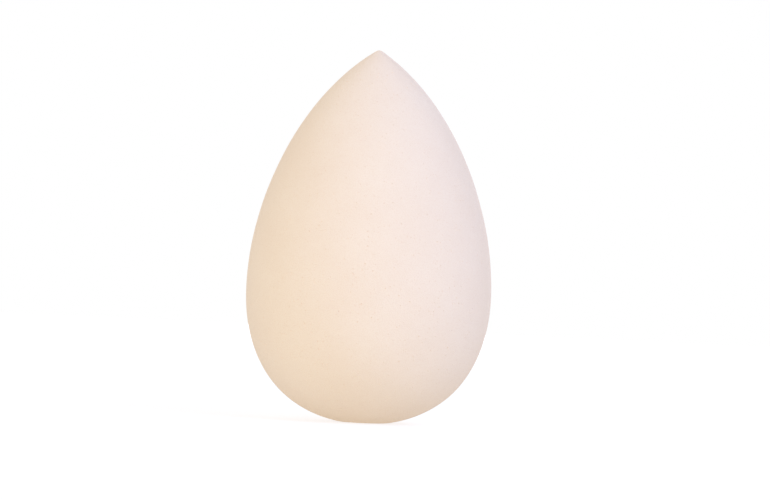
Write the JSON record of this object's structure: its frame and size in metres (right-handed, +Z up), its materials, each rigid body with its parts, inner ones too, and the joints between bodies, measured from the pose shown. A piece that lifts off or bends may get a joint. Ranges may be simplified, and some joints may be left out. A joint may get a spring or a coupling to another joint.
{
  "type": "makeup sponge",
  "caption": "Teardrop makeup sponge of soft moulded foam, round and blunt at one end and pointed at the other, for dabbing on and blending make-up.",
  "frame": {"origin": "middle of the seat, the small flat on the blunt end that the sponge stands on", "axes": "+Z up along the sponge's own axis, from the seat to the tip; X and Y are level and alike, because the sponge is a body of revolution"},
  "size_m": [0.0396, 0.0394, 0.06],
  "materials": {
    "foam_skin": "matte, fine open pores",
    "foam_inside": "matte, open cells"
  },
  "bodies": {
    "root": {"outer_skin": "foam_skin", "foam_core": "foam_inside"}
  },
  "joints": []
}
